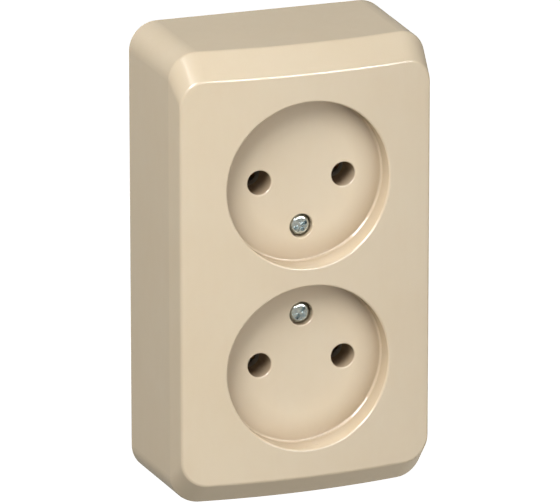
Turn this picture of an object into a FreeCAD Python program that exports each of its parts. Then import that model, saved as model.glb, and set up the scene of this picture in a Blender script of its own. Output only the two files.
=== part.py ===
"""Duplex wall outlet, surface mounted, two round unearthed sockets, built as separate pieces.

Frame: millimetres, origin at the middle of the wall face, +Z up the wall, the front facing -Y.
Every depth is a distance from the wall, so a piece at depth d lies at Y = -d.  Sketches are drawn
parallel to the wall on each body's XZ plane, whose normal points to the front: a pad grows to
the front and a pocket cuts towards the wall.
"""
import FreeCAD, Part
import math
import os
import Sketcher

Vector = FreeCAD.Vector
os.makedirs("parts", exist_ok=True)
doc = FreeCAD.newDocument("duplex_wall_outlet")

# ---------------------------------------------------------------- driving dimensions
SIZES = {
    # cover, outside
    "cover_width": 58.6,
    "cover_height": 101.0,
    "cover_depth": 32.0,
    "crown_radius": 140.0,
    "wall_corner": 6.2,
    "shoulder_corner": 6.1,
    "face_corner": 5.75,
    "draft_side": 0.4,
    "draft_end": 0.5,
    "bevel_side": 0.7,
    "bevel_end": 5.2,
    "bevel_depth": 5.3,
    "edge_round": 0.8,
    "shell_wall": 2.2,
    # the two sockets
    "socket_spacing": 40.6,
    "recess_radius": 18.3,
    "recess_depth": 5.6,
    "recess_wall": 2.2,
    "rim_round": 0.4,
    "floor_round": 0.5,
    "pin_spacing": 19.0,
    "pin_hole_radius": 2.65,
    "pin_guide_wall": 1.5,
    "pin_mouth_round": 0.3,
    "pin_radius": 2.4,
    # cover screws
    "screw_offset": 10.5,
    "screw_radius": 1.75,
    "screw_head_radius": 2.3,
    "screw_head_height": 1.9,
    "screw_head_sink": 0.5,
    "screw_length": 14.6,
    "drive_width": 0.8,
    "drive_span": 3.2,
    "drive_depth": 1.1,
    "counterbore_radius": 2.6,
    "washer_radius": 3.6,
    "washer_thickness": 0.8,
    "washer_travel": 5.0,
    "seat_thickness": 1.4,
    "boss_wall": 1.5,
    "nut_width": 6.0,
    "nut_thickness": 2.4,
    "nut_cover": 2.0,
    # base plate
    "base_thickness": 2.4,
    "base_rim_height": 6.0,
    "base_rim_wall": 1.6,
    "base_corner": 3.8,
    "fixing_spacing": 78.0,
    "fixing_slot_width": 4.4,
    "fixing_slot_length": 9.0,
    "entry_radius": 6.5,
    "entry_across": 17.0,
    "entry_drop": 37.0,
    # insulating block
    "block_half_width": 17.6,
    "block_half_height": 30.5,
    "block_setback": 7.6,
    "wing_half_width": 21.8,
    "wing_half_height": 10.6,
    "wing_front": 15.0,
    "block_front_wall": 2.2,
    "contact_bay_across": 5.4,
    "contact_bay_height": 7.0,
    "block_screw_height": 26.5,
    "block_screw_radius": 1.4,
    "block_screw_head": 2.6,
    "block_screw_depth": 11.0,
    # conductors
    "bar_back": 4.4,
    "bar_thickness": 1.0,
    "bar_width": 5.0,
    "bar_overrun": 4.0,
    "tab_reach": 11.0,
    "tab_half_height": 9.6,
    "terminal_across": 7.4,
    "terminal_height": 5.0,
    "contact_thickness": 0.6,
    "contact_width": 4.6,
    "contact_setback": 11.4,
    "leaf_thickness": 0.5,
    "leaf_grip": 1.7,
    "leaf_foot_across": 3.0,
    "leaf_straight": 2.5,
    "leaf_waist": 7.0,
    "leaf_flare": 1.1,
    "rivet_radius": 0.9,
    "rivet_head_radius": 1.5,
    "rivet_head_height": 0.5,
    # terminals
    "clamp_width": 7.0,
    "clamp_thickness": 1.2,
    "clamp_travel": 2.0,
    "clamp_bay_width": 7.8,
    "terminal_screw_radius": 1.75,
    "terminal_head_radius": 3.1,
    "terminal_head_height": 2.0,
    # fits
    "running_fit": 0.05,
    "loose_fit": 0.3,
    "slide_fit": 0.1,
}
sheet = doc.addObject("Spreadsheet::Sheet", "Sizes")
for row, (alias, value) in enumerate(SIZES.items(), start=1):
    sheet.set(f"A{row}", alias)
    sheet.set(f"B{row}", str(value))
    sheet.setAlias(f"B{row}", alias)
doc.recompute()

# depths and places that several pieces share, as expressions on the sheet
S = "Sizes."
FLOOR = "(Sizes.cover_depth - Sizes.recess_depth)"
FLOOR_BACK = f"({FLOOR} - Sizes.shell_wall)"
HALF_SPACING = "Sizes.socket_spacing / 2"
HALF_PIN = "Sizes.pin_spacing / 2"
SCREW_HEIGHT = "(Sizes.socket_spacing / 2 - Sizes.screw_offset)"
SCREW_SEAT = f"({FLOOR} - Sizes.screw_head_sink - Sizes.screw_head_height)"
SCREW_TIP = f"({SCREW_SEAT} - Sizes.screw_length)"
CHAMBER_TOP = f"({SCREW_SEAT} - Sizes.seat_thickness)"
WASHER_BACK = (f"({CHAMBER_TOP} - Sizes.loose_fit - Sizes.washer_travel"
               " - Sizes.washer_thickness)")
BOSS_END = f"({WASHER_BACK} + Sizes.loose_fit)"
POST_FRONT = f"({WASHER_BACK} - Sizes.loose_fit)"
NUT_FRONT = f"({POST_FRONT} - Sizes.nut_cover)"
CHAMBER_RADIUS = "(Sizes.washer_radius + Sizes.loose_fit)"
BOSS_RADIUS = f"({CHAMBER_RADIUS} + Sizes.boss_wall)"
BAR_FRONT = "(Sizes.bar_back + Sizes.bar_thickness)"
CLAMP_BACK = f"({BAR_FRONT} + Sizes.loose_fit)"
CLAMP_FRONT = f"({CLAMP_BACK} + Sizes.clamp_thickness)"
BLOCK_FRONT = f"({FLOOR} - Sizes.block_setback)"
CONTACT_FRONT = f"({FLOOR} - Sizes.contact_setback)"
BAY_CEILING = f"({BLOCK_FRONT} - Sizes.block_front_wall)"
BAY_INNER = "(Sizes.pin_radius + Sizes.contact_thickness + Sizes.slide_fit)"
INNER_HALF_WIDTH = "(Sizes.cover_width / 2 - Sizes.shell_wall)"
INNER_HALF_HEIGHT = "(Sizes.cover_height / 2 - Sizes.shell_wall)"
BASE_HALF_WIDTH = f"({INNER_HALF_WIDTH} - Sizes.loose_fit - Sizes.slide_fit)"
BASE_HALF_HEIGHT = f"({INNER_HALF_HEIGHT} - Sizes.loose_fit - Sizes.slide_fit)"

OVERCUT = 1
SAME_PLACE = 1e-3

LEVELS = {"upper": 1, "lower": -1}
SIDES = {"left": -1, "right": 1}


def below(depth):
    """A depth a little nearer the wall, so that a cut runs right through."""
    return f"({depth} - {OVERCUT})"


def above(depth):
    """A depth a little nearer the front, so that a cut runs right through."""
    return f"({depth} + {OVERCUT})"


def size(name):
    """The number in one cell of the sheet."""
    return float(sheet.get(name))


def value(expression):
    """The number that an expression on the sheet gives."""
    result = sheet.evalExpression(expression.replace(S, ""))
    return float(result.Value if hasattr(result, "Value") else result)


# ---------------------------------------------------------------- building helpers
def new_body(label):
    """An empty body whose label names its file."""
    body = doc.addObject("PartDesign::Body", label)
    body.Label = label
    return body


def new_sketch(body, role, across="0", up="0", out="0"):
    """A sketch on one of the body's own origin planes, moved by expressions."""
    sketch = body.newObject("Sketcher::SketchObject", body.Name + "_sketch")
    plane = next(item for item in body.Origin.OriginFeatures if item.Role == role)
    sketch.AttachmentSupport = [(plane, "")]
    sketch.MapMode = "FlatFace"
    sketch.setExpression("AttachmentOffset.Base.x", across)
    sketch.setExpression("AttachmentOffset.Base.y", up)
    sketch.setExpression("AttachmentOffset.Base.z", out)
    return sketch


def bind(sketch, kind, places, expression):
    """One dimension of a sketch, tied to an expression."""
    index = sketch.addConstraint(Sketcher.Constraint(kind, *places, value(expression)))
    sketch.setExpression(f"Constraints[{index}]", expression)


def draw_circle(sketch, radius):
    """A circle about the sketch's own origin."""
    index = sketch.addGeometry(Part.Circle(Vector(), Vector(0, 0, 1), value(radius)))
    sketch.addConstraint(Sketcher.Constraint("Coincident", index, 3, -1, 1))
    bind(sketch, "Radius", (index,), radius)


def draw_polygon(sketch, corners):
    """A closed outline of straight lines through corners given as pairs of expressions."""
    places = [Vector(value(across), value(up), 0) for across, up in corners]
    lines = [Part.LineSegment(start, end)
             for start, end in zip(places, places[1:] + places[:1])]
    first = sketch.addGeometry(lines)[0]
    count = len(corners)
    for index, (across, up) in enumerate(corners):
        line = first + index
        following = first + (index + 1) % count
        sketch.addConstraint(Sketcher.Constraint("Coincident", line, 2, following, 1))
        bind(sketch, "DistanceX", (-1, 1, line, 1), across)
        bind(sketch, "DistanceY", (-1, 1, line, 1), up)


def draw_rectangle(sketch, half_width, half_height):
    """A rectangle centred on the sketch's own origin."""
    draw_polygon(sketch, [(f"-({half_width})", f"-({half_height})"),
                          (half_width, f"-({half_height})"),
                          (half_width, half_height),
                          (f"-({half_width})", half_height)])


def draw_rounded(sketch, half_width, half_height, corner):
    """A rectangle centred on the sketch's origin, with four equal round corners."""
    wide = value(half_width)
    high = value(half_height)
    bend = value(corner)
    centres = ((wide - bend, bend - high, -90), (wide - bend, high - bend, 0),
               (bend - wide, high - bend, 90), (bend - wide, bend - high, 180))
    arcs = []
    for across, up, start in centres:
        circle = Part.Circle(Vector(across, up, 0), Vector(0, 0, 1), bend)
        arcs.append(Part.ArcOfCircle(circle, math.radians(start), math.radians(start + 90)))
    curves = sketch.addGeometry(arcs)
    sides = []
    for index in range(4):
        line = Part.LineSegment(arcs[index].EndPoint, arcs[(index + 1) % 4].StartPoint)
        sides.append(sketch.addGeometry(line))
    for index in range(4):
        following = curves[(index + 1) % 4]
        sketch.addConstraint(Sketcher.Constraint("Tangent", curves[index], 2, sides[index], 1))
        sketch.addConstraint(Sketcher.Constraint("Tangent", sides[index], 2, following, 1))
    for index in (0, 2):
        sketch.addConstraint(Sketcher.Constraint("Vertical", sides[index]))
        sketch.addConstraint(Sketcher.Constraint("Horizontal", sides[index + 1]))
    for index in (1, 2, 3):
        sketch.addConstraint(Sketcher.Constraint("Equal", curves[0], curves[index]))
    sketch.addConstraint(Sketcher.Constraint("Symmetric", curves[0], 3, curves[2], 3, -1, 1))
    bind(sketch, "Radius", (curves[0],), corner)
    bind(sketch, "DistanceX", (-1, 1, sides[0], 1), half_width)
    bind(sketch, "DistanceY", (-1, 1, sides[1], 1), half_height)


def pad(body, sketch, length):
    """Material from the sketch towards the front."""
    feature = body.newObject("PartDesign::Pad", body.Name + "_pad")
    feature.Profile = sketch
    feature.setExpression("Length", length)
    return feature


def pocket(body, sketch, length):
    """A cut from the sketch towards the wall."""
    feature = body.newObject("PartDesign::Pocket", body.Name + "_pocket")
    feature.Profile = sketch
    feature.setExpression("Length", length)
    return feature


def pad_between(body, draw, shape, back, front, across="0", up="0"):
    """A pad between two depths, of the outline that `draw` makes from `shape`."""
    sketch = new_sketch(body, "XZ_Plane", across, up, back)
    draw(sketch, *shape)
    return pad(body, sketch, f"({front}) - ({back})")


def cut_between(body, draw, shape, back, front, across="0", up="0"):
    """A pocket between two depths, of the outline that `draw` makes from `shape`."""
    sketch = new_sketch(body, "XZ_Plane", across, up, front)
    draw(sketch, *shape)
    return pocket(body, sketch, f"({front}) - ({back})")


def place(body, across="0", up="0", depth="0", half_turn=False):
    """Put a body built about its own axis in its place, half a turn about Y if asked."""
    if half_turn:
        body.Placement = FreeCAD.Placement(Vector(), FreeCAD.Rotation(Vector(0, 1, 0), 180))
    body.setExpression("Placement.Base.x", across)
    body.setExpression("Placement.Base.y", f"-({depth})")
    body.setExpression("Placement.Base.z", up)


def round_edges(body, radius, wanted):
    """Fillet the tip's edges for which `wanted` is true."""
    doc.recompute()
    base = body.Tip
    names = [f"Edge{index}" for index, edge in enumerate(base.Shape.Edges, start=1)
             if wanted(edge)]
    if not names:
        raise RuntimeError(f"no edge to round on {body.Label}")
    fillet = body.newObject("PartDesign::Fillet", body.Name + "_round")
    fillet.Base = (base, names)
    fillet.setExpression("Radius", radius)
    return fillet


def is_ring(edge, radius, depth):
    """True for a full circle of that radius, parallel to the wall at that depth."""
    curve = edge.Curve
    if curve.TypeId != "Part::GeomCircle" or len(edge.Vertexes) != 1:
        return False
    same_radius = abs(curve.Radius - radius) < SAME_PLACE
    return same_radius and abs(curve.Center.y + depth) < SAME_PLACE


# ---------------------------------------------------------------- cover
def outline_wire(half_width, half_height, corner):
    """A rounded rectangle on the wall plane as a closed wire of arcs and lines."""
    arcs = []
    for across, up, start in ((half_width - corner, corner - half_height, -90),
                              (half_width - corner, half_height - corner, 0),
                              (corner - half_width, half_height - corner, 90),
                              (corner - half_width, corner - half_height, 180)):
        angles = [math.radians(start + turn) for turn in (0, 45, 90)]
        arcs.append([Vector(across + corner * math.cos(angle), 0, up + corner * math.sin(angle))
                     for angle in angles])
    edges = []
    for index, points in enumerate(arcs):
        edges.append(Part.Arc(*points).toShape())
        edges.append(Part.LineSegment(points[2], arcs[(index + 1) % 4][0]).toShape())
    return Part.Wire(edges)


def crowned_face(half_width, half_height, corner, radius, apex):
    """The part of the crown, a cylinder about an upright axis, inside a rounded rectangle."""
    reach = 2 * apex
    prism = Part.Face(outline_wire(half_width, half_height, corner)).extrude(Vector(0, -reach, 0))
    axis_foot = Vector(0, radius - apex, -2 * half_height)
    drum = Part.makeCylinder(radius, 4 * half_height, axis_foot, Vector(0, 0, 1))
    faces = [face for face in prism.common(drum).Faces
             if face.Surface.TypeId == "Part::GeomCylinder"
             and abs(face.Surface.Radius - radius) < SAME_PLACE]
    return faces[0]


def crowned_block(inset):
    """A solid bounded by the wall plane, drafted sides, the bevel and the crowned front.

    `inset` is how far each surface lies inside the cover's outer surface.
    """
    half_width = size("cover_width") / 2 - inset
    half_height = size("cover_height") / 2 - inset
    radius = size("crown_radius") - inset
    apex = size("cover_depth") - inset
    wall = outline_wire(half_width, half_height, size("wall_corner") - inset)
    half_width -= size("draft_side")
    half_height -= size("draft_end")
    shoulder = crowned_face(half_width, half_height, size("shoulder_corner") - inset,
                            radius, apex - size("bevel_depth"))
    half_width -= size("bevel_side")
    half_height -= size("bevel_end")
    front = crowned_face(half_width, half_height, size("face_corner") - inset, radius, apex)
    sides = Part.makeLoft([wall, shoulder.OuterWire, front.OuterWire], False, True)
    skin = Part.Shell(sides.Faces + [front, Part.Face(wall)])
    skin.sewShape()
    solid = Part.Solid(Part.Shell(skin.Faces))
    if solid.Volume < 0:
        solid.reverse()
    if inset:
        return solid
    # the outline of the crowned face and the shoulder behind it are rounded all the way
    rims = [edge for wire in (front.OuterWire, shoulder.OuterWire) for edge in wire.Edges]
    middles = [edge.valueAt((edge.FirstParameter + edge.LastParameter) / 2) for edge in rims]
    edges = []
    for edge in solid.Edges:
        middle = edge.valueAt((edge.FirstParameter + edge.LastParameter) / 2)
        if any(middle.distanceToPoint(point) < SAME_PLACE for point in middles):
            edges.append(edge)
    return solid.makeFillet(size("edge_round"), edges)


def make_cover():
    """One moulded shell with two round recesses, pin guides and the bosses for its screws."""
    blank = doc.addObject("Part::Feature", "cover_blank")
    blank.Shape = crowned_block(0).cut(crowned_block(size("shell_wall")))
    body = new_body("cover")
    body.BaseFeature = blank
    # the wells stop inside the thickness of the crowned front, at the edge of the recess
    sink = "(Sizes.recess_radius + Sizes.recess_wall)"
    crown_drop = f"({sink} * {sink} / (2 * Sizes.crown_radius))"
    well_front = f"(Sizes.cover_depth - {crown_drop} - Sizes.shell_wall / 3)"
    for level in LEVELS.values():
        up = f"{level} * {HALF_SPACING}"
        pad_between(body, draw_circle, (sink,), FLOOR_BACK, well_front, up=up)
        for side in SIDES.values():
            pad_between(body, draw_circle, ("Sizes.pin_hole_radius + Sizes.pin_guide_wall",),
                        f"{BLOCK_FRONT} + Sizes.loose_fit", FLOOR_BACK,
                        f"{side} * {HALF_PIN}", up)
        pad_between(body, draw_circle, (BOSS_RADIUS,), BOSS_END, FLOOR_BACK,
                    up=f"{level} * {SCREW_HEIGHT}")
    for level in LEVELS.values():
        up = f"{level} * {HALF_SPACING}"
        cut_between(body, draw_circle, ("Sizes.recess_radius",), FLOOR,
                    above("Sizes.cover_depth"), up=up)
        for side in SIDES.values():
            cut_between(body, draw_circle, ("Sizes.pin_hole_radius",), BLOCK_FRONT,
                        "Sizes.cover_depth", f"{side} * {HALF_PIN}", up)
        up = f"{level} * {SCREW_HEIGHT}"
        cut_between(body, draw_circle, ("Sizes.counterbore_radius",), SCREW_SEAT,
                    "Sizes.cover_depth", up=up)
        cut_between(body, draw_circle, ("Sizes.screw_radius + Sizes.running_fit",),
                    CHAMBER_TOP, SCREW_SEAT, up=up)
        cut_between(body, draw_circle, (CHAMBER_RADIUS,), BOSS_END, CHAMBER_TOP, up=up)
    recess_radius = size("recess_radius")
    floor = value(FLOOR)

    def on_recess_rim(edge):
        if edge.Curve.TypeId == "Part::GeomCircle" or edge.Length < 3 * recess_radius:
            return False
        middle = edge.valueAt((edge.FirstParameter + edge.LastParameter) / 2)
        reach = math.hypot(middle.x, abs(middle.z) - size("socket_spacing") / 2)
        return abs(reach - recess_radius) < SAME_PLACE and -middle.y > floor + SAME_PLACE

    round_edges(body, "Sizes.rim_round", on_recess_rim)
    round_edges(body, "Sizes.floor_round", lambda edge: is_ring(edge, recess_radius, floor))
    round_edges(body, "Sizes.pin_mouth_round",
                lambda edge: is_ring(edge, size("pin_hole_radius"), floor)
                or is_ring(edge, size("counterbore_radius"), floor))
    return body


# ---------------------------------------------------------------- screws, washers, nuts
def draw_drive(body, depth, top):
    """The cross recess of a screw's head, as two crossed slots."""
    for half_width, half_height in (("Sizes.drive_span / 2", "Sizes.drive_width / 2"),
                                    ("Sizes.drive_width / 2", "Sizes.drive_span / 2")):
        cut_between(body, draw_rectangle, (half_width, half_height), f"{top} - {depth}", top)


def make_screw(label, radius, head_radius, head_height, tip, seat):
    """A machine screw along Y with a cross recess, between two depths, and its head in front."""
    body = new_body(label)
    pad_between(body, draw_circle, (radius,), tip, seat)
    top = f"({seat} + {head_height})"
    pad_between(body, draw_circle, (head_radius,), seat, top)
    draw_drive(body, "Sizes.drive_depth", top)
    round_edges(body, f"{head_height} / 4",
                lambda edge: is_ring(edge, value(head_radius), value(top)))
    return body


def make_cover_screws():
    """For each socket the screw that holds the cover, its captive washer and its nut."""
    bodies = []
    hole = "Sizes.screw_radius + Sizes.running_fit"
    for name, level in LEVELS.items():
        up = f"{level} * {SCREW_HEIGHT}"
        screw = make_screw(f"{name}_cover_screw", "Sizes.screw_radius",
                           "Sizes.screw_head_radius", "Sizes.screw_head_height",
                           SCREW_TIP, SCREW_SEAT)
        place(screw, up=up)
        washer = new_body(f"{name}_captive_washer")
        pad_between(washer, draw_circle, ("Sizes.washer_radius",), WASHER_BACK,
                    f"{WASHER_BACK} + Sizes.washer_thickness")
        cut_between(washer, draw_circle, (hole,), below(WASHER_BACK),
                    above(f"{WASHER_BACK} + Sizes.washer_thickness"))
        place(washer, up=up)
        nut = new_body(f"{name}_square_nut")
        pad_between(nut, draw_rectangle, ("Sizes.nut_width / 2", "Sizes.nut_width / 2"),
                    f"{NUT_FRONT} - Sizes.nut_thickness", NUT_FRONT)
        cut_between(nut, draw_circle, (hole,), below(f"{NUT_FRONT} - Sizes.nut_thickness"),
                    above(NUT_FRONT))
        place(nut, up=up)
        bodies += [screw, washer, nut]
    return bodies


# ---------------------------------------------------------------- base plate
def make_base_plate():
    """Moulded tray that is screwed to the wall and carries the block inside the cover."""
    body = new_body("base_plate")
    pad_between(body, draw_rounded, (BASE_HALF_WIDTH, BASE_HALF_HEIGHT, "Sizes.base_corner"),
                "0", "Sizes.base_rim_height")
    cut_between(body, draw_rounded, (f"{BASE_HALF_WIDTH} - Sizes.base_rim_wall",
                                     f"{BASE_HALF_HEIGHT} - Sizes.base_rim_wall",
                                     "Sizes.base_corner - Sizes.base_rim_wall"),
                "Sizes.base_thickness", "Sizes.base_rim_height")
    # two rests under each busbar
    for side in SIDES.values():
        for level in LEVELS.values():
            pad_between(body, draw_rectangle,
                        ("Sizes.bar_width / 2 - Sizes.loose_fit", "Sizes.bar_width / 2"),
                        "Sizes.base_thickness", "Sizes.bar_back",
                        f"{side} * {HALF_PIN}", f"{level} * {SCREW_HEIGHT}")
    for level in LEVELS.values():
        cut_between(body, draw_rounded,
                    ("Sizes.fixing_slot_width / 2", "Sizes.fixing_slot_length / 2",
                     "Sizes.fixing_slot_width / 2 - Sizes.running_fit / 5"),
                    below("0"), "Sizes.base_rim_height", up=f"{level} * Sizes.fixing_spacing / 2")
        up = f"{level} * Sizes.block_screw_height"
        cut_between(body, draw_circle, ("Sizes.block_screw_radius + Sizes.running_fit",),
                    below("0"), "Sizes.base_rim_height", up=up)
        cut_between(body, draw_circle, ("Sizes.block_screw_head + Sizes.slide_fit",),
                    below("0"), "Sizes.base_thickness / 2", up=up)
    for side in SIDES.values():
        cut_between(body, draw_circle, ("Sizes.entry_radius",),
                    below("0"), "Sizes.base_rim_height", f"{side} * Sizes.entry_across", "-Sizes.entry_drop")
    return body


# ---------------------------------------------------------------- insulating block
def make_contact_block():
    """Insulating block over the live pieces: bays for contacts, terminals and nuts."""
    body = new_body("contact_block")
    back = "Sizes.base_thickness"
    pad_between(body, draw_rectangle, ("Sizes.block_half_width", "Sizes.block_half_height"),
                back, BLOCK_FRONT)
    pad_between(body, draw_rectangle, ("Sizes.wing_half_width", "Sizes.wing_half_height"),
                back, "Sizes.wing_front")
    # the front between the sockets steps back over the terminals
    cut_between(body, draw_rectangle,
                ("Sizes.wing_half_width", "Sizes.wing_half_height"),
                POST_FRONT, above(BLOCK_FRONT))
    for side in SIDES.values():
        across = f"{side} * {HALF_PIN}"
        # channel for the busbar and its tab, from the back
        cut_between(body, draw_rectangle,
                    ("Sizes.bar_width / 2 + Sizes.slide_fit",
                     f"{HALF_SPACING} + Sizes.bar_overrun + Sizes.slide_fit"),
                    below(back), BAR_FRONT, across)
        cut_between(body, draw_rectangle,
                    ("(Sizes.tab_reach + Sizes.bar_width / 2) / 2 + Sizes.slide_fit",
                     "Sizes.tab_half_height + Sizes.slide_fit"),
                    below(back), BAR_FRONT,
                    f"{side} * ({HALF_PIN} + (Sizes.tab_reach - Sizes.bar_width / 2) / 2)")
        for level in LEVELS.values():
            up = f"{level} * {HALF_SPACING}"
            # bay for a contact and its leaf, with the pin's hole through the front wall
            cut_between(body, draw_rectangle,
                        (f"(Sizes.contact_bay_across + {BAY_INNER}) / 2",
                         "Sizes.contact_bay_height / 2"),
                        below(back), BAY_CEILING,
                        f"{side} * ({HALF_PIN} + (Sizes.contact_bay_across - {BAY_INNER}) / 2)",
                        up)
            cut_between(body, draw_circle, ("Sizes.pin_hole_radius + Sizes.loose_fit",),
                        below(BAY_CEILING), above(BLOCK_FRONT), across, up)
            # bay for a terminal, open to the front
            cut_between(body, draw_rectangle,
                        ("Sizes.clamp_bay_width / 2", "Sizes.clamp_bay_width / 2"),
                        below(BAR_FRONT), above(BLOCK_FRONT),
                        f"{side} * ({HALF_PIN} + Sizes.terminal_across)",
                        f"{level} * Sizes.terminal_height")
    for level in LEVELS.values():
        up = f"{level} * {SCREW_HEIGHT}"
        # room for the cover's boss, hole for its screw and slot for its nut
        cut_between(body, draw_circle, (f"{BOSS_RADIUS} + Sizes.loose_fit",),
                    POST_FRONT, above(BLOCK_FRONT), up=up)
        cut_between(body, draw_circle, ("Sizes.screw_radius + Sizes.loose_fit",),
                    below(SCREW_TIP), BLOCK_FRONT, up=up)
        cut_between(body, draw_circle, ("Sizes.block_screw_radius + Sizes.running_fit",),
                    below(back), above("Sizes.block_screw_depth"),
                    up=f"{level} * Sizes.block_screw_height")
    nut_half = "(Sizes.nut_width / 2 + Sizes.slide_fit)"
    cut_between(body, draw_rectangle, (nut_half, f"{SCREW_HEIGHT} + {nut_half}"),
                f"{NUT_FRONT} - Sizes.nut_thickness", NUT_FRONT)
    cut_between(body, draw_rectangle, (nut_half, f"{SCREW_HEIGHT} - {nut_half}"),
                f"{NUT_FRONT} - Sizes.nut_thickness", above(BLOCK_FRONT))
    return body


def make_block_screws():
    """The two countersunk screws that hold the block to the base plate, from behind."""
    shape = []
    for level in LEVELS.values():
        up = level * size("block_screw_height")
        head_back = size("loose_fit")
        head_front = size("base_thickness") / 2
        radius = size("block_screw_radius")
        profile = [Vector(0, -head_back, up),
                   Vector(size("block_screw_head"), -head_back, up),
                   Vector(size("block_screw_head"), -head_front, up),
                   Vector(radius, -head_front, up),
                   Vector(radius, -size("block_screw_depth"), up),
                   Vector(0, -size("block_screw_depth") - radius / 2, up)]
        face = Part.Face(Part.makePolygon(profile + profile[:1]))
        shape.append(face.revolve(Vector(0, 0, up), Vector(0, 1, 0), 360))
    group = doc.addObject("Part::Feature", "block_screws")
    group.Label = "block_screws"
    group.Shape = Part.makeCompound(shape)
    return group


# ---------------------------------------------------------------- conductors
def make_busbar(label, side):
    """Brass strip behind one column of pins, with a tab for two terminals."""
    body = new_body(label)
    half = "Sizes.bar_width / 2"
    reach = f"({HALF_SPACING} + Sizes.bar_overrun)"
    outline = [(f"-{half}", f"-{reach}"), (half, f"-{reach}"),
               (half, "-Sizes.tab_half_height"), ("Sizes.tab_reach", "-Sizes.tab_half_height"),
               ("Sizes.tab_reach", "Sizes.tab_half_height"), (half, "Sizes.tab_half_height"),
               (half, reach), (f"-{half}", reach)]
    pad_between(body, draw_polygon, (outline,), "Sizes.bar_back", BAR_FRONT)
    for level in LEVELS.values():
        cut_between(body, draw_circle, ("Sizes.terminal_screw_radius + Sizes.running_fit",),
                    below("Sizes.bar_back"), above(BAR_FRONT), "Sizes.terminal_across",
                    f"{level} * Sizes.terminal_height")
        cut_between(body, draw_circle, ("Sizes.rivet_radius + Sizes.running_fit",),
                    below("Sizes.bar_back"), above(BAR_FRONT), "0",
                    f"{level} * {HALF_SPACING}")
    place(body, across=f"{side} * {HALF_PIN}", half_turn=side < 0)
    return body


def upright_profile(body, corners, width):
    """A bent strip: its section seen along Z, drawn as depth against X, made `width` tall."""
    sketch = new_sketch(body, "XY_Plane", out=f"-({width}) / 2")
    draw_polygon(sketch, [(across, f"-({depth})") for across, depth in corners])
    return pad(body, sketch, width)


def make_contact(label, side, level):
    """Rigid half of a contact: a foot on the busbar and a cheek beside the pin."""
    body = new_body(label)
    cheek = "Sizes.pin_radius"
    outer = f"({cheek} + Sizes.contact_thickness)"
    foot = f"({BAR_FRONT} + Sizes.contact_thickness)"
    foot_end = "Sizes.bar_width / 2 - Sizes.contact_thickness"
    upright_profile(body, [(f"-{outer}", BAR_FRONT), (foot_end, BAR_FRONT),
                           (foot_end, foot), (f"-{cheek}", foot),
                           (f"-{cheek}", CONTACT_FRONT),
                           (f"-{outer}", CONTACT_FRONT)], "Sizes.contact_width")
    cut_between(body, draw_circle, ("Sizes.rivet_radius + Sizes.running_fit",),
                below(BAR_FRONT), above(foot))
    place(body, f"{side} * {HALF_PIN}", f"{level} * {HALF_SPACING}", half_turn=side < 0)
    return body


def make_leaf(label, side, level):
    """Sprung half of a contact: a bowed leaf that presses the pin against the cheek."""
    body = new_body(label)
    foot = "Sizes.leaf_foot_across"
    grip = "Sizes.leaf_grip"
    skin = "Sizes.leaf_thickness"
    start = f"({BAR_FRONT} + Sizes.loose_fit)"
    bend = f"({start} + Sizes.leaf_straight)"
    waist = f"({start} + Sizes.leaf_waist)"
    mouth = CONTACT_FRONT
    inner = [(foot, start), (foot, bend), (grip, waist), (f"({grip} + Sizes.leaf_flare)", mouth)]
    outer = [(f"{across} + {skin}", depth) for across, depth in reversed(inner)]
    upright_profile(body, inner + outer, "Sizes.contact_width")
    place(body, f"{side} * {HALF_PIN}", f"{level} * {HALF_SPACING}", half_turn=side < 0)
    return body


def make_rivets():
    """The four rivets that join the contacts' feet to the busbars, headed on both sides."""
    shape = []
    radius = size("rivet_radius")
    head = size("rivet_head_radius")
    head_height = size("rivet_head_height")
    front = value(BAR_FRONT) + size("contact_thickness")
    back = size("bar_back")
    for side in SIDES.values():
        for level in LEVELS.values():
            foot = Vector(side * size("pin_spacing") / 2, 0, level * size("socket_spacing") / 2)
            out = Vector(0, -1, 0)
            shank = Part.makeCylinder(radius, front - back, foot + out * back, out)
            back_head = Part.makeCylinder(head, head_height, foot + out * (back - head_height), out)
            front_head = Part.makeCylinder(head, head_height, foot + out * front, out)
            shape.append(shank.fuse(back_head).fuse(front_head).removeSplitter())
    group = doc.addObject("Part::Feature", "contact_rivets")
    group.Label = "contact_rivets"
    group.Shape = Part.makeCompound(shape)
    return group


def make_terminals():
    """For each of the four wires a clamp plate and the screw that presses it down."""
    bodies = []
    for side_name, side in SIDES.items():
        for level_name, level in LEVELS.items():
            across = f"{side} * ({HALF_PIN} + Sizes.terminal_across)"
            up = f"{level} * Sizes.terminal_height"
            clamp = new_body(f"{level_name}_{side_name}_terminal_clamp")
            half = "Sizes.clamp_width / 2"
            pad_between(clamp, draw_rectangle, (half, half), CLAMP_BACK, CLAMP_FRONT)
            cut_between(clamp, draw_circle,
                        ("Sizes.terminal_screw_radius + Sizes.running_fit",),
                        below(CLAMP_BACK), above(CLAMP_FRONT))
            place(clamp, across, up)
            screw = make_screw(f"{level_name}_{side_name}_terminal_screw",
                               "Sizes.terminal_screw_radius", "Sizes.terminal_head_radius",
                               "Sizes.terminal_head_height",
                               "(Sizes.base_thickness + Sizes.loose_fit)",
                               f"({CLAMP_FRONT} + Sizes.running_fit)")
            place(screw, across, up)
            bodies += [clamp, screw]
    return bodies


# ---------------------------------------------------------------- assembly
pieces = [make_cover(), make_base_plate(), make_contact_block(), make_block_screws(),
          make_rivets()]
pieces += make_cover_screws()
pieces += [make_busbar("line_busbar", -1), make_busbar("neutral_busbar", 1)]
for level_name, level in LEVELS.items():
    for side_name, side in SIDES.items():
        pieces.append(make_contact(f"{level_name}_{side_name}_contact", side, level))
        pieces.append(make_leaf(f"{level_name}_{side_name}_spring_leaf", side, level))
pieces += make_terminals()
doc.recompute()

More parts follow.
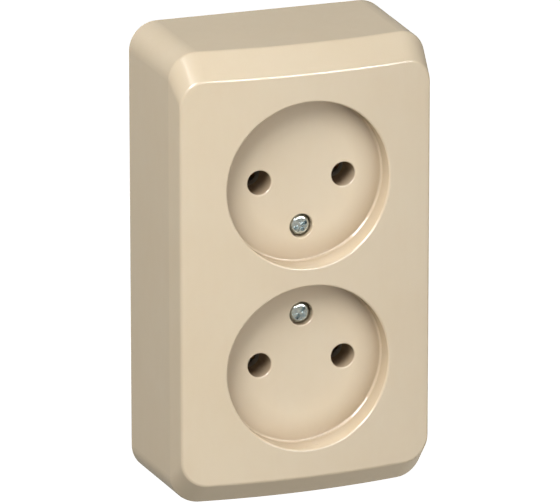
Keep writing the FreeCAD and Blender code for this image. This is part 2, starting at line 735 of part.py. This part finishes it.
faults = [item.Name for item in doc.Objects
          if "Invalid" in item.State or "Error" in item.State]
for piece in pieces:
    if piece.Shape.isNull() or not piece.Shape.isValid() or not piece.Shape.Solids:
        faults.append(piece.Label + " shape")
if faults:
    raise RuntimeError("failed objects: " + ", ".join(faults))
for piece in pieces:
    piece.Shape.exportStep(f"parts/{piece.Label}.step")
    box = piece.Shape.BoundBox
    print(f"{piece.Label:32s} {piece.Shape.Volume:10.2f} mm3, {len(piece.Shape.Solids)} solid(s), "
          f"X {box.XMin:.2f}..{box.XMax:.2f}  depth {-box.YMax:.2f}..{-box.YMin:.2f}  "
          f"Z {box.ZMin:.2f}..{box.ZMax:.2f}")
print(len(pieces), "nodes")
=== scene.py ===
# %% [markdown]
# # A duplex wall outlet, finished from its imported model
# The outlet is a moulded cream cover over a base plate, with two round sockets one above the other.
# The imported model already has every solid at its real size, so this script adds what it can't say:
# the moulded and metal finishes, the threads and drives of the screws, the light and the camera.
# Lengths are in metres, +Z is up the wall, and the front faces -Y.

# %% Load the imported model
import math

import bpy
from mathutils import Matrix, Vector


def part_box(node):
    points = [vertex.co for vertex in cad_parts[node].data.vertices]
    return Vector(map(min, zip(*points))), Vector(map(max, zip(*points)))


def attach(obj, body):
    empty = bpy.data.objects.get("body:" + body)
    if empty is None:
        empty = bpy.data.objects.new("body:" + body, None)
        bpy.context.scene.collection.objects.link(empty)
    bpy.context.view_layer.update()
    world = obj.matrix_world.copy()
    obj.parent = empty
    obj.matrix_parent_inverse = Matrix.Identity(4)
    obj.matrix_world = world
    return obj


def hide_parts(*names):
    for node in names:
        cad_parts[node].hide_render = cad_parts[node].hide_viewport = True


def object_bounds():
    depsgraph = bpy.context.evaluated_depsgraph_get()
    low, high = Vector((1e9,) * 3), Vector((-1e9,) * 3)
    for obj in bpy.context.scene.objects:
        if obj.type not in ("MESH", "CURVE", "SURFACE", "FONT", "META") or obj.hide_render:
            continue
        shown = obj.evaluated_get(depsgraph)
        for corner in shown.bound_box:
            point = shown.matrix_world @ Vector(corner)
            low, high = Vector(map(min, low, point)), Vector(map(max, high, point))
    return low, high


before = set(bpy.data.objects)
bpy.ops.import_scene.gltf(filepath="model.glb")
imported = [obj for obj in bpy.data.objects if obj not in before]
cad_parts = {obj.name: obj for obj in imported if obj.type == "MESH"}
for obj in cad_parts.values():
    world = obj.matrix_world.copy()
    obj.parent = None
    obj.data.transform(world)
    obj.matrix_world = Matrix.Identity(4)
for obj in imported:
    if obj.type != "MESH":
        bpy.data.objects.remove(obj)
cad_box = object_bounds()
MM = 0.001
scene = bpy.context.scene
size = cad_box[1] - cad_box[0]
print("outlet size, mm:", [round(side / MM, 2) for side in size])

# %% [markdown]
# ## Camera
# The outlet is seen from its front left and a little above, from far away through a long lens, so its
# upright edges stay nearly parallel. A camera can be aimed by hand, but an aim worked out from the
# object's own box still holds if the box changes. The camera stands on a line from the middle of the
# outlet, turned by two angles, and looks back along that line.

# %% Place the camera
AROUND = math.radians(20.516)
ABOVE = math.radians(17.353)
AWAY = 1.4492
aim = Vector((-6.95 * MM, cad_box[0].y, 6.38 * MM))
sight = Vector((math.sin(AROUND) * math.cos(ABOVE), math.cos(AROUND) * math.cos(ABOVE), -math.sin(ABOVE)))
lens = bpy.data.cameras.new("long_lens")
lens.sensor_width = 36
lens.lens = 440.83
lens.clip_start = 0.1
lens.clip_end = 100
camera = bpy.data.objects.new("camera", lens)
camera.location = aim - sight * AWAY
camera.rotation_mode = "QUATERNION"
camera.rotation_quaternion = sight.to_track_quat("-Z", "Y")
scene.collection.objects.link(camera)
scene.camera = camera
print("camera at", [round(c, 3) for c in camera.location])

# %% [markdown]
# ## Light and floor
# Glossy plastic shows the lamps as much as it shows its own colour. One large soft lamp stands high on
# the left: it models the relief and leaves the tops of the round recesses in shade. A larger one low on
# the right fills the face. It stands where the face would mirror it, which would lay a pale veil over
# the plastic, so it is hidden from reflections. Two lamps do the opposite and show only in reflections:
# a long narrow one draws the fine bright line along the rounded front edge, and a small one makes the
# white spark on the upper left corner. The room is dim, and a little brighter in reflections, because
# metal with nothing to mirror looks black.
# One more lamp behind lights only the wall side, for whoever turns the outlet round.
# The floor is pale and lies well below, and only the camera sees it, so it throws no light upwards.

# %% Lamps
def add_lamp(name, towards, away, width, height, watts):
    """A rectangular lamp in that direction from the outlet, facing it."""
    data = bpy.data.lights.new(name, "AREA")
    data.shape = "RECTANGLE"
    data.size = width
    data.size_y = height
    data.energy = watts
    lamp = bpy.data.objects.new(name, data)
    direction = Vector(towards).normalized()
    lamp.location = direction * away
    lamp.rotation_mode = "QUATERNION"
    lamp.rotation_quaternion = direction.to_track_quat("Z", "Y")
    lamp.visible_camera = False
    scene.collection.objects.link(lamp)
    return lamp


key = add_lamp("key_lamp", (-0.53, -0.52, 0.67), 1.0, 0.5, 0.5, 9.1)
fill = add_lamp("fill_lamp", (0.529, -0.819, -0.222), 1.5, 1.1, 1.1, 10.4)
fill.visible_glossy = False
strip = add_lamp("strip_lamp", (0.334, -0.84, 0.42), 1.0, 0.9, 0.05, 14.0)
spark = add_lamp("spark_lamp", (-0.50, -0.55, 0.67), 1.0, 0.16, 0.3, 14.0)
behind = add_lamp("behind_lamp", (0.0, 1.0, 0.08), 1.2, 0.5, 0.5, 6.0)
for lamp in (strip, spark):
    lamp.visible_diffuse = False
print("lamps:", key.name, fill.name, strip.name, spark.name, behind.name)

# %% The room and the floor
ROOM_LIGHT = 0.11
ROOM_MIRRORED = 0.45
room = bpy.data.worlds.new("studio_room")
room.use_nodes = True
room_nodes = room.node_tree.nodes
room_nodes.clear()
surround = room_nodes.new("ShaderNodeBackground")
surround.inputs["Color"].default_value = (1.0, 0.92, 0.78, 1)
seen = room_nodes.new("ShaderNodeBackground")
seen.inputs["Color"].default_value = (1, 1, 1, 1)
seen.inputs["Strength"].default_value = 1.1
path = room_nodes.new("ShaderNodeLightPath")
brightness = room_nodes.new("ShaderNodeMapRange")
brightness.inputs["To Min"].default_value = ROOM_LIGHT
brightness.inputs["To Max"].default_value = ROOM_MIRRORED
room.node_tree.links.new(path.outputs["Is Glossy Ray"], brightness.inputs["Value"])
room.node_tree.links.new(brightness.outputs["Result"], surround.inputs["Strength"])
choose = room_nodes.new("ShaderNodeMixShader")
world_out = room_nodes.new("ShaderNodeOutputWorld")
room.node_tree.links.new(path.outputs["Is Camera Ray"], choose.inputs["Fac"])
room.node_tree.links.new(surround.outputs[0], choose.inputs[1])
room.node_tree.links.new(seen.outputs[0], choose.inputs[2])
room.node_tree.links.new(choose.outputs[0], world_out.inputs["Surface"])
scene.world = room
scene.view_settings.view_transform = "Standard"

FLOOR_DROP = 3.0
FLOOR_HALF = 30.0
floor_mesh = bpy.data.meshes.new("floor")
corners = [(x * FLOOR_HALF, y * FLOOR_HALF, -FLOOR_DROP) for x, y in ((-1, -1), (1, -1), (1, 1), (-1, 1))]
floor_mesh.from_pydata(corners, [], [(0, 1, 2, 3)])
floor = bpy.data.objects.new("floor", floor_mesh)
scene.collection.objects.link(floor)
floor_paint = bpy.data.materials.new("pale_floor")
floor_paint.use_nodes = True
floor_shader = floor_paint.node_tree.nodes["Principled BSDF"]
floor_shader.inputs["Base Color"].default_value = (0.9, 0.9, 0.9, 1)
floor_shader.inputs["Roughness"].default_value = 0.9
floor_shader.inputs["Emission Color"].default_value = (1, 1, 1, 1)
floor_shader.inputs["Emission Strength"].default_value = 1.0
floor_mesh.materials.append(floor_paint)
floor.visible_diffuse = False
floor.visible_glossy = False
print("floor", FLOOR_DROP, "m below the outlet")

# %% [markdown]
# ## How the finishes are made
# A real finish is never one flat value: the colour drifts a little, the gloss is uneven, and the surface
# has a fine relief. Each of these can come from a procedural noise that reads the object's own
# coordinates, so nothing slides when a part moves. The helpers below each add one such layer to a
# material. A value that is the same everywhere is set on the shader itself.

# %% Helpers for the finishes
def start_finish(name, metallic=0.0, ior=1.5):
    """A new material with one Principled shader, and its tree."""
    material = bpy.data.materials.new(name)
    material.use_nodes = True
    shader = material.node_tree.nodes["Principled BSDF"]
    shader.inputs["Metallic"].default_value = metallic
    shader.inputs["IOR"].default_value = ior
    return material, material.node_tree, shader


def own_coordinates(tree, stretch=(1, 1, 1)):
    """Object coordinates, stretched along an axis where a pattern runs that way."""
    coordinates = tree.nodes.new("ShaderNodeTexCoord")
    mapping = tree.nodes.new("ShaderNodeMapping")
    mapping.inputs["Scale"].default_value = stretch
    tree.links.new(coordinates.outputs["Object"], mapping.inputs["Vector"])
    return mapping.outputs["Vector"]


def noise(tree, per_mm, detail=2.0, roughness=0.5, stretch=(1, 1, 1)):
    """A noise with about that many features in a millimetre."""
    texture = tree.nodes.new("ShaderNodeTexNoise")
    texture.inputs["Scale"].default_value = per_mm / MM
    texture.inputs["Detail"].default_value = detail
    texture.inputs["Roughness"].default_value = roughness
    tree.links.new(own_coordinates(tree, stretch), texture.inputs["Vector"])
    return texture.outputs["Fac"]


def spread(tree, factor, low, high, start=0.3, stop=0.7):
    """The factor's middle range, stretched to run from low to high."""
    reach = tree.nodes.new("ShaderNodeMapRange")
    reach.inputs["From Min"].default_value = start
    reach.inputs["From Max"].default_value = stop
    reach.inputs["To Min"].default_value = low
    reach.inputs["To Max"].default_value = high
    tree.links.new(factor, reach.inputs["Value"])
    return reach.outputs["Result"]


def tint(tree, factor, stops):
    """Colours along a ramp: stops are (place, (r, g, b))."""
    ramp = tree.nodes.new("ShaderNodeValToRGB")
    band = ramp.color_ramp
    while len(band.elements) < len(stops):
        band.elements.new(0.5)
    for element, (place, colour) in zip(band.elements, stops):
        element.position = place
        element.color = (*colour, 1)
    tree.links.new(factor, ramp.inputs["Fac"])
    return ramp.outputs["Color"]


def blend_colours(tree, factor, first, second):
    """First where the factor is 0 and second where it is 1. Each is a colour or a socket."""
    mix = tree.nodes.new("ShaderNodeMix")
    mix.data_type = "RGBA"
    tree.links.new(factor, mix.inputs["Factor"])
    for socket, value in ((mix.inputs[6], first), (mix.inputs[7], second)):
        if isinstance(value, tuple):
            socket.default_value = (*value, 1)
        else:
            tree.links.new(value, socket)
    return mix.outputs[2]


def combine(tree, how, first, second):
    """Maths on two factors, either of which may be a plain number."""
    maths = tree.nodes.new("ShaderNodeMath")
    maths.operation = how
    for socket, value in zip(maths.inputs, (first, second)):
        if isinstance(value, (int, float)):
            socket.default_value = value
        else:
            tree.links.new(value, socket)
    return maths.outputs["Value"]


def relief(tree, height, depth_mm, strength=1.0, under=None):
    """A bump of that depth, on top of the relief under it."""
    bump = tree.nodes.new("ShaderNodeBump")
    bump.inputs["Strength"].default_value = strength
    bump.inputs["Distance"].default_value = depth_mm * MM
    tree.links.new(height, bump.inputs["Height"])
    if under is not None:
        tree.links.new(under, bump.inputs["Normal"])
    return bump.outputs["Normal"]


def edge_mask(tree, reach_mm, gain=6.0):
    """Near 1 on outer and inner edges and 0 on open faces, from how far a rounded normal leans away."""
    rounded = tree.nodes.new("ShaderNodeBevel")
    rounded.samples = 4
    rounded.inputs["Radius"].default_value = reach_mm * MM
    shape = tree.nodes.new("ShaderNodeNewGeometry")
    lean = tree.nodes.new("ShaderNodeVectorMath")
    lean.operation = "DOT_PRODUCT"
    tree.links.new(rounded.outputs["Normal"], lean.inputs[0])
    tree.links.new(shape.outputs["Normal"], lean.inputs[1])
    away = combine(tree, "SUBTRACT", 1.0, lean.outputs["Value"])
    grown = combine(tree, "MULTIPLY", away, gain)
    return spread(tree, grown, 0.0, 1.0, 0.0, 1.0)


def painted_shade_mask(tree, reach_mm, power):
    """Painted shade: 1 on open faces, falling towards 0 in corners and holes of the same piece, where shade
    falls.
    """
    shade = tree.nodes.new("ShaderNodeAmbientOcclusion")
    shade.samples = 12
    shade.only_local = True
    shade.inputs["Distance"].default_value = reach_mm * MM
    return combine(tree, "POWER", shade.outputs["AO"], power)


# %% [markdown]
# ## Moulded plastics
# The cover comes out of a polished steel mould, so it is glossy, but cooling leaves a faint waviness like
# orange peel, and handling rubs its outer edges a little smoother and paler. Shade in the recesses and
# holes is painted into the colour, so the cream turns darker and browner there. The base plate uses the
# same plastic from a duller mould. The block that holds the contacts is a heat-proof plastic with a mineral
# filler: paler, matte, and speckled where grains reach the surface. All three could be one material with
# different numbers, but the speckle makes the block's tree its own.

# %% Glossy and satin cream plastic
CREAM = (0.80, 0.68, 0.505)
CREAM_DEEP = (0.785, 0.655, 0.475)
CREAM_RUBBED = (0.83, 0.72, 0.555)
# painted shade: the dark brown that corners, recesses and holes are blended towards, and how far and how
# strongly
CREAM_PAINTED_SHADE = (0.12, 0.04, 0.0)
PAINTED_SHADE_REACH_MM = 6.5
PAINTED_SHADE_POWER = 0.62


def moulded_cream(name, gloss_low, gloss_high, peel_mm, grain_mm):
    """Cream plastic whose gloss and relief depend on how well its mould was polished."""
    material, tree, shader = start_finish(name)
    drift = noise(tree, 0.045, 3.0, 0.55)
    flow = noise(tree, 0.6, 4.0, 0.6, (1, 1, 0.35))
    broad = combine(tree, "MULTIPLY", drift, 0.75)
    fine = combine(tree, "MULTIPLY", flow, 0.25)
    cloud = combine(tree, "ADD", broad, fine)
    body_colour = tint(tree, cloud, [(0.35, CREAM_DEEP), (0.62, CREAM)])
    edges = edge_mask(tree, 0.5)
    colour = blend_colours(tree, combine(tree, "MULTIPLY", edges, 0.35), body_colour, CREAM_RUBBED)
    # painted shade: the colour darkens towards dark brown in corners, recesses and holes, from ambient
    # occlusion
    colour = blend_colours(tree, painted_shade_mask(tree, PAINTED_SHADE_REACH_MM, PAINTED_SHADE_POWER), CREAM_PAINTED_SHADE, colour)
    tree.links.new(colour, shader.inputs["Base Color"])
    smear = noise(tree, 0.12, 5.0, 0.65, (1, 1, 0.5))
    gloss = spread(tree, smear, gloss_low, gloss_high)
    tree.links.new(gloss, shader.inputs["Roughness"])
    peel = relief(tree, noise(tree, 0.55, 1.0, 0.4), peel_mm)
    grain = relief(tree, noise(tree, 7.0, 2.0, 0.6), grain_mm, 1.0, peel)
    tree.links.new(grain, shader.inputs["Normal"])
    shader.inputs["Subsurface Weight"].default_value = 0.02
    shader.inputs["Subsurface Radius"].default_value = (1.0, 0.6, 0.3)
    shader.inputs["Subsurface Scale"].default_value = 0.8 * MM
    return material


cover_plastic = moulded_cream("glossy_cream_plastic", 0.17, 0.25, 0.004, 0.0003)
base_plastic = moulded_cream("satin_cream_plastic", 0.36, 0.48, 0.003, 0.0012)
print("plastics:", cover_plastic.name, base_plastic.name)

# %% Matte insulating plastic
material, tree, shader = start_finish("mineral_filled_plastic")
speckle = noise(tree, 3.2, 3.0, 0.7)
cloud = noise(tree, 0.12, 2.0)
chalk = tint(tree, cloud, [(0.35, (0.62, 0.60, 0.55)), (0.65, (0.70, 0.68, 0.63))])
grains = spread(tree, speckle, 0.0, 0.6, 0.62, 0.74)
colour = blend_colours(tree, grains, chalk, (0.42, 0.40, 0.36))
edges = edge_mask(tree, 0.3)
colour = blend_colours(tree, combine(tree, "MULTIPLY", edges, 0.4), colour, (0.78, 0.76, 0.72))
tree.links.new(colour, shader.inputs["Base Color"])
tree.links.new(spread(tree, noise(tree, 0.8, 4.0), 0.55, 0.75), shader.inputs["Roughness"])
tree.links.new(relief(tree, speckle, 0.006), shader.inputs["Normal"])
block_plastic = material
print("plastic:", block_plastic.name)

# %% [markdown]
# ## Metals
# The strips and contacts are brass, the springs a redder bronze, and the screws, clamps, nuts and
# washers are zinc plated steel with a cold blue cast. Rolled strip has fine lines along the way it was
# rolled, so its noise is stretched along one axis. Plating is smoother, with a slight mottling. Edges
# are brighter on all of them, where sliding and handling have polished the metal.

# %% Rolled and plated metals
def rolled_metal(name, dark, light, rubbed, gloss_low, gloss_high, along):
    """Strip metal with fine rolling lines along one axis and darker tarnish in patches."""
    material, tree, shader = start_finish(name, metallic=1.0)
    tarnish = noise(tree, 0.25, 5.0, 0.65)
    skin = tint(tree, tarnish, [(0.35, dark), (0.6, light)])
    edges = edge_mask(tree, 0.15)
    colour = blend_colours(tree, combine(tree, "MULTIPLY", edges, 0.6), skin, rubbed)
    tree.links.new(colour, shader.inputs["Base Color"])
    stretch = tuple(0.04 if axis == along else 1.0 for axis in "xyz")
    lines = noise(tree, 9.0, 3.0, 0.7, stretch)
    tree.links.new(spread(tree, lines, gloss_low, gloss_high), shader.inputs["Roughness"])
    tree.links.new(relief(tree, lines, 0.0012), shader.inputs["Normal"])
    return material


def plated_metal(name, dark, light, rubbed, gloss_low, gloss_high):
    """Steel under a thin bright plating that is a little mottled."""
    material, tree, shader = start_finish(name, metallic=1.0)
    mottle = noise(tree, 1.6, 4.0, 0.6)
    skin = tint(tree, mottle, [(0.38, dark), (0.62, light)])
    edges = edge_mask(tree, 0.08)
    colour = blend_colours(tree, combine(tree, "MULTIPLY", edges, 0.5), skin, rubbed)
    tree.links.new(colour, shader.inputs["Base Color"])
    tree.links.new(spread(tree, noise(tree, 2.5, 3.0), gloss_low, gloss_high), shader.inputs["Roughness"])
    tree.links.new(relief(tree, noise(tree, 4.0, 3.0, 0.6), 0.0006), shader.inputs["Normal"])
    return material


brass = rolled_metal("rolled_brass", (0.60, 0.40, 0.15), (0.80, 0.58, 0.25),
                     (0.92, 0.72, 0.38), 0.22, 0.42, "z")
bronze = rolled_metal("spring_bronze", (0.52, 0.30, 0.15), (0.70, 0.43, 0.24),
                      (0.85, 0.58, 0.36), 0.20, 0.36, "y")
zinc = plated_metal("bright_zinc_plate", (0.55, 0.62, 0.64), (0.76, 0.83, 0.85),
                    (0.92, 0.96, 0.97), 0.12, 0.22)
print("metals:", brass.name, bronze.name, zinc.name)

# %% [markdown]
# ## Finishes on the imported parts
# The imported parts keep their shapes and get these finishes in place of their plain colours. The imported
# model names the finish each part has, so the list is read from it and can't fall out of step.

# %% Give each imported part its finish
FINISH = {
    "cover_plastic": cover_plastic,
    "base_plastic": base_plastic,
    "block_plastic": block_plastic,
    "contact_brass": brass,
    "spring_bronze": bronze,
    "zinc_plated_steel": zinc,
}
for name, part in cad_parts.items():
    for holder in part.material_slots:
        plain = holder.material.name.split(".")[0]
        holder.material = FINISH[plain]
print("finished", len(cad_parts), "packed parts")

# %% [markdown]
# ## Screws
# A machine screw is a shank with a helical thread and a rounded head with a cross recess. The thread
# could be a small triangle swept along a spiral, but then its ends and its root never quite close. Here
# a fine cylinder is pushed in and out instead: how far a point moves depends on its height and on its
# angle round the axis, so one rule gives a closed thread of any length. The head is a sphere squeezed
# to a flat-bottomed dome, and tapered bars are cut from it for the drive. One node tree makes all of
# the screws, with its sizes as inputs.

# %% Short ways to build a node tree
class TreeBuilder:
    """Adds nodes to a geometry tree and joins them up."""

    def __init__(self, name):
        self.tree = bpy.data.node_groups.new(name, "GeometryNodeTree")
        self.tree.interface.new_socket("Geometry", in_out="OUTPUT", socket_type="NodeSocketGeometry")
        self.inlet = self.tree.nodes.new("NodeGroupInput")
        self.outlet = self.tree.nodes.new("NodeGroupOutput")

    def size(self, name, default, kind="NodeSocketFloat"):
        """A named input of the tree, and the socket that carries it."""
        socket = self.tree.interface.new_socket(name, in_out="INPUT", socket_type=kind)
        if default is not None:
            socket.default_value = default
        return self.inlet.outputs[name]

    def add(self, kind, settings=None, **inputs):
        """One node. Settings are its own options, inputs are sockets or plain values."""
        node = self.tree.nodes.new(kind)
        for key, value in (settings or {}).items():
            setattr(node, key, value)
        for key, value in inputs.items():
            self.feed(node.inputs[key.replace("_", " ")], value)
        return node

    def feed(self, socket, value):
        """Link a socket, or set a plain value."""
        if isinstance(value, bpy.types.NodeSocket):
            self.tree.links.new(value, socket)
        else:
            socket.default_value = value

    def maths(self, how, first, second=0.0, third=0.0):
        """One maths node on sockets or plain numbers."""
        node = self.add("ShaderNodeMath", {"operation": how})
        for socket, value in zip(node.inputs, (first, second, third)):
            self.feed(socket, value)
        return node.outputs[0]

    def apart(self, vector):
        """The three parts of a vector."""
        node = self.add("ShaderNodeSeparateXYZ")
        self.feed(node.inputs[0], vector)
        return node.outputs["X"], node.outputs["Y"], node.outputs["Z"]

    def together(self, x, y, z):
        """A vector from three parts."""
        node = self.add("ShaderNodeCombineXYZ")
        for socket, value in zip(node.inputs, (x, y, z)):
            self.feed(socket, value)
        return node.outputs[0]

    def where(self):
        """The position of each point."""
        return self.add("GeometryNodeInputPosition").outputs[0]

    def move(self, geometry, position):
        """The geometry with its points at new positions."""
        return self.add("GeometryNodeSetPosition", Geometry=geometry, Position=position).outputs[0]


# %% The screw's node tree
SCREW_SIDES = 48
HEAD_RINGS = 32
NEAR_AXIS = 1e-4
TIP_WIDTH = 0.78
SHARP_EDGE = math.radians(32)
THREAD_STEPS = 10
screw = TreeBuilder("machine_screw")
head_radius = screw.size("Head Radius", 2.5 * MM)
head_height = screw.size("Head Height", 1.9 * MM)
head_flat = screw.size("Head Flatness", 0.7)
shank_radius = screw.size("Shank Radius", 1.75 * MM)
shank_length = screw.size("Shank Length", 14.6 * MM)
thread_length = screw.size("Thread Length", 7.0 * MM)
thread_pitch = screw.size("Thread Pitch", 0.6 * MM)
thread_depth = screw.size("Thread Depth", 0.32 * MM)
drive_span = screw.size("Drive Span", 3.2 * MM)
drive_width = screw.size("Drive Width", 0.8 * MM)
drive_depth = screw.size("Drive Depth", 1.1 * MM)
turned = screw.size("Turned", 0.0)
tipped = screw.size("Tipped", math.pi / 2)
place = screw.size("Place", (0, 0, 0), "NodeSocketVector")
plating = screw.size("Finish", None, "NodeSocketMaterial")

# the head: a sphere squeezed between a circle and a square, and flattened below
ball = screw.add("GeometryNodeMeshUVSphere", Segments=SCREW_SIDES, Rings=HEAD_RINGS, Radius=1.0)
x, y, z = screw.apart(screw.where())
square = screw.maths("MULTIPLY_ADD", x, x, screw.maths("MULTIPLY", y, y))
reach = screw.maths("MAXIMUM", screw.maths("SQRT", square), NEAR_AXIS)
fuller = screw.maths("DIVIDE", screw.maths("POWER", reach, head_flat), reach)
wide = screw.maths("MULTIPLY", fuller, head_radius)
rise = screw.maths("POWER", screw.maths("MAXIMUM", z, 0.0), head_flat)
head_point = screw.together(screw.maths("MULTIPLY", x, wide), screw.maths("MULTIPLY", y, wide),
                            screw.maths("MULTIPLY", rise, head_height))
dome = screw.move(ball.outputs["Mesh"], head_point)


def drive_bar(span, width, depth, angle, taper):
    """A bar across the top of the head that narrows as it goes down."""
    bar = screw.add("GeometryNodeMeshCube")
    screw.feed(bar.inputs["Size"], screw.together(span, width, screw.maths("MULTIPLY", depth, 2.0)))
    bx, by, bz = screw.apart(screw.where())
    down = screw.maths("DIVIDE", screw.maths("SUBTRACT", depth, bz), screw.maths("MULTIPLY", depth, 2.0))
    narrow = screw.maths("MULTIPLY_ADD", down, -taper, 1.0 + taper / 2)
    point = screw.together(screw.maths("MULTIPLY", bx, narrow), screw.maths("MULTIPLY", by, narrow), bz)
    shaped = screw.move(bar.outputs["Mesh"], point)
    raised = screw.add("GeometryNodeTransform", Geometry=shaped,
                       Translation=screw.together(0.0, 0.0, head_height), Rotation=(0, 0, angle))
    return raised.outputs[0]


tick_span = screw.maths("MULTIPLY", drive_span, 1.02)
tick_width = screw.maths("MULTIPLY", drive_width, 0.22)
tick_depth = screw.maths("MULTIPLY", drive_depth, 0.42)
cutters = [drive_bar(drive_span, drive_width, drive_depth, turn, 0.7) for turn in (0, math.pi / 2)]
cutters += [drive_bar(tick_span, tick_width, tick_depth, turn, 0.0) for turn in (math.pi / 4, -math.pi / 4)]
heart = screw.maths("MULTIPLY", drive_width, 1.35)
cutters.append(drive_bar(heart, heart, drive_depth, math.pi / 4, 0.7))
cut = screw.add("GeometryNodeMeshBoolean", {"operation": "DIFFERENCE", "solver": "EXACT"})
screw.feed(cut.inputs[0], dome)
for cutter in cutters:
    screw.tree.links.new(cutter, cut.inputs[1])

# the shank: a cylinder pushed in and out along a helix, and drawn in at its tip
step = screw.maths("DIVIDE", thread_pitch, float(THREAD_STEPS))
rings = screw.maths("CEIL", screw.maths("DIVIDE", shank_length, step))
rod = screw.add("GeometryNodeMeshCylinder", Vertices=SCREW_SIDES // 2, Side_Segments=rings,
                Radius=1.0, Depth=shank_length)
sunk = screw.add("GeometryNodeTransform", Geometry=rod.outputs["Mesh"],
                 Translation=screw.together(0.0, 0.0, screw.maths("MULTIPLY", shank_length, -0.5)))
x, y, z = screw.apart(screw.where())
angle = screw.maths("DIVIDE", screw.maths("ARCTAN2", y, x), 2 * math.pi)
turns = screw.maths("FRACT", screw.maths("SUBTRACT", screw.maths("DIVIDE", z, thread_pitch), angle))
crest = screw.maths("ABSOLUTE", screw.maths("MULTIPLY_ADD", turns, 2.0, -1.0))
from_tip = screw.maths("ADD", z, shank_length)
fade = screw.add("ShaderNodeMapRange", {"interpolation_type": "SMOOTHSTEP"}, Value=from_tip,
                 From_Min=screw.maths("SUBTRACT", thread_length, thread_pitch), From_Max=thread_length,
                 To_Min=1.0, To_Max=0.0).outputs["Result"]
groove = screw.maths("MULTIPLY", screw.maths("MULTIPLY", crest, thread_depth), fade)
point_taper = screw.add("ShaderNodeMapRange", Value=from_tip, From_Min=0.0, From_Max=thread_pitch,
                        To_Min=TIP_WIDTH, To_Max=1.0).outputs["Result"]
girth = screw.maths("MULTIPLY", screw.maths("SUBTRACT", shank_radius, groove), point_taper)
shank_point = screw.together(screw.maths("MULTIPLY", x, girth), screw.maths("MULTIPLY", y, girth), z)
shank = screw.move(sunk.outputs[0], shank_point)

joined = screw.add("GeometryNodeJoinGeometry")
for piece in (cut.outputs["Mesh"], shank):
    screw.tree.links.new(piece, joined.inputs[0])
spun = screw.add("GeometryNodeTransform", Geometry=joined.outputs[0],
                 Rotation=screw.together(0.0, 0.0, turned))
laid = screw.add("GeometryNodeTransform", Geometry=spun.outputs[0], Translation=place,
                 Rotation=screw.together(tipped, 0.0, 0.0))
smooth = screw.add("GeometryNodeSetShadeSmooth", Geometry=laid.outputs[0], Shade_Smooth=True)
lean = screw.add("GeometryNodeInputMeshEdgeAngle").outputs["Unsigned Angle"]
sharp = screw.maths("GREATER_THAN", lean, SHARP_EDGE)
creased = screw.add("GeometryNodeSetShadeSmooth", {"domain": "EDGE"}, Geometry=smooth.outputs[0],
                    Selection=sharp, Shade_Smooth=False)
real = screw.add("GeometryNodeRealizeInstances", Geometry=creased.outputs[0])
plated = screw.add("GeometryNodeSetMaterial", Geometry=real.outputs[0], Material=plating)
screw.tree.links.new(plated.outputs[0], screw.outlet.inputs[0])
print("screw tree:", len(screw.tree.nodes), "nodes")

# %% Turn a tree into a piece
def grow(name, tree, sizes):
    """Runs a node tree with those inputs and keeps the result as a plain mesh."""
    holder = bpy.data.objects.new(name + "_maker", bpy.data.meshes.new(name + "_maker"))
    scene.collection.objects.link(holder)
    maker = holder.modifiers.new("maker", "NODES")
    maker.node_group = tree
    for item in tree.interface.items_tree:
        if item.in_out == "INPUT" and item.name in sizes:
            maker[item.identifier] = sizes[item.name]
    evaluated = holder.evaluated_get(bpy.context.evaluated_depsgraph_get())
    mesh = bpy.data.meshes.new_from_object(evaluated)
    mesh.name = name
    bpy.data.objects.remove(holder)
    piece = bpy.data.objects.new(name, mesh)
    scene.collection.objects.link(piece)
    return piece


# %% [markdown]
# ## The six screws
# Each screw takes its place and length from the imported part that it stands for. The two cover screws
# show in the recesses, and the four terminal screws show when the cover is off. Screws are never all
# left at one angle, so each is turned differently.

# %% Make the screws
def stand_in_screw(node, body, drive_turn, sizes):
    """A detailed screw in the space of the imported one, with its head to the front."""
    low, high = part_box(node)
    head = sizes["Head Height"]
    sizes = dict(sizes)
    sizes["Head Radius"] = (high.x - low.x) / 2
    sizes["Shank Length"] = high.y - low.y - head
    sizes["Turned"] = math.radians(drive_turn)
    sizes["Place"] = ((low.x + high.x) / 2, low.y + head, (low.z + high.z) / 2)
    sizes["Finish"] = zinc
    piece = grow(node + "_detailed", screw.tree, sizes)
    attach(piece, body)
    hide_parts(node)
    print(piece.name, len(piece.data.polygons), "faces")
    return piece


COVER_SCREW = {"Head Height": 1.9 * MM, "Head Flatness": 0.5, "Thread Length": 6.8 * MM}
TERMINAL_SCREW = {"Head Height": 2.0 * MM, "Thread Length": 4.1 * MM, "Drive Span": 4.0 * MM,
                  "Drive Width": 0.95 * MM, "Drive Depth": 1.2 * MM}
FIRST_TURN = 17
NEXT_TURN = 31
for level, drive_turn in (("upper", 25), ("lower", 52)):
    stand_in_screw(level + "_cover_screw", level + "_screw", drive_turn, COVER_SCREW)
for at, (level, side) in enumerate((a, b) for a in ("upper", "lower") for b in ("left", "right")):
    stand_in_screw(f"{level}_{side}_terminal_screw", f"{level}_{side}_clamp_screw",
                   FIRST_TURN + NEXT_TURN * at, TERMINAL_SCREW)
